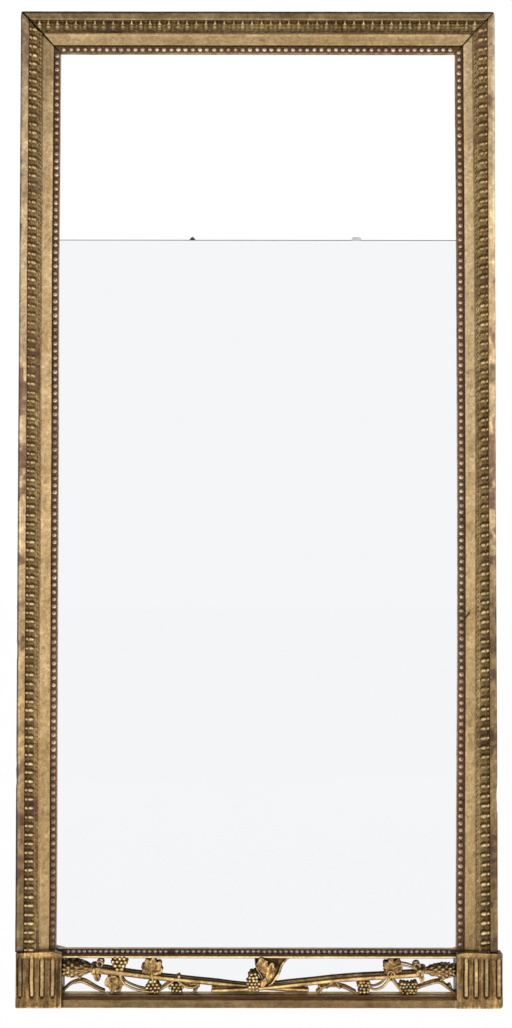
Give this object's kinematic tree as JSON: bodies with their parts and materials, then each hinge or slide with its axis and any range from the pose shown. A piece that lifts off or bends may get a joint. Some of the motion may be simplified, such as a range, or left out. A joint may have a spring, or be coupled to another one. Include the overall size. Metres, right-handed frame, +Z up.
{
  "type": "pier mirror",
  "caption": "Tall two-plate pier mirror in a carved giltwood frame with a pierced vine frieze between reeded corner blocks, on a pine back frame with hinged hanging eyes.",
  "frame": {"origin": "on the wall plane and the centre line of the stiles, level with the hinge pins of the two hanging eyes, 10 mm below the top edge", "axes": "+Z up, +X to the right as seen from the front, +Y into the wall"},
  "size_m": [0.872, 0.0524, 1.8],
  "materials": {
    "giltwood": "satin",
    "giltwood_lower": "satin",
    "carved_gilding": "satin",
    "frieze_gilding": "satin",
    "mirror_upper": "polished",
    "mirror_lower": "polished",
    "pine_frame": "matte",
    "pine_boards": "matte",
    "pine_small": "matte",
    "forged_iron": "matte",
    "bright_clip": "satin"
  },
  "bodies": {
    "mirror": {"left_stile": "giltwood", "right_stile": "giltwood", "top_rail": "giltwood", "left_leaf_moulding": "carved_gilding", "right_leaf_moulding": "carved_gilding", "top_leaf_moulding": "carved_gilding", "left_bead_strip": "carved_gilding", "right_bead_strip": "carved_gilding", "top_bead_strip": "carved_gilding", "cross_rail": "giltwood_lower", "cross_rail_bead_strip": "carved_gilding", "base_rail": "giltwood_lower", "left_corner_block": "giltwood_lower", "right_corner_block": "giltwood_lower", "block_dowels": "pine_small", "left_staff": "frieze_gilding", "right_staff": "frieze_gilding", "left_pine_cone": "frieze_gilding", "right_pine_cone": "frieze_gilding", "left_ribbon_knot": "frieze_gilding", "right_ribbon_knot": "frieze_gilding", "left_vine": "frieze_gilding", "right_vine": "frieze_gilding", "left_grape_clusters": "frieze_gilding", "right_grape_clusters": "frieze_gilding", "centre_grape_cluster": "frieze_gilding", "left_vine_leaves": "frieze_gilding", "right_vine_leaf": "frieze_gilding", "centre_vine_leaf": "frieze_gilding", "left_back_stile": "pine_frame", "right_back_stile": "pine_frame", "back_top_rail": "pine_frame", "back_cross_rail": "pine_frame", "back_base_rail": "pine_frame", "joint_batten": "pine_frame", "back_frame_pegs": "pine_small", "upper_plate": "mirror_upper", "lower_plate": "mirror_lower", "frieze_plate": "mirror_lower", "plate_blocks": "pine_small", "left_plate_clip": "forged_iron", "right_plate_clip": "bright_clip", "left_backboard": "pine_boards", "middle_backboard": "pine_boards", "right_backboard": "pine_boards", "frieze_backboard": "pine_boards", "backboard_nails": "forged_iron", "left_hanger_plate": "forged_iron", "right_hanger_plate": "forged_iron", "left_hinge_pin": "forged_iron", "right_hinge_pin": "forged_iron", "hanger_screws": "forged_iron"},
    "left_eye": {"left_hanging_eye": "forged_iron"},
    "right_eye": {"right_hanging_eye": "forged_iron"}
  },
  "joints": [
    {"name": "left_eye_hinge", "type": "hinge", "parent": "mirror", "child": "left_eye", "pos_m": [-0.24, -0.0036, 0], "axis": [1, 0, 0], "range_deg": [0, 180]},
    {"name": "right_eye_hinge", "type": "hinge", "parent": "mirror", "child": "right_eye", "pos_m": [0.24, -0.0036, 0], "axis": [1, 0, 0], "range_deg": [0, 180]}
  ]
}
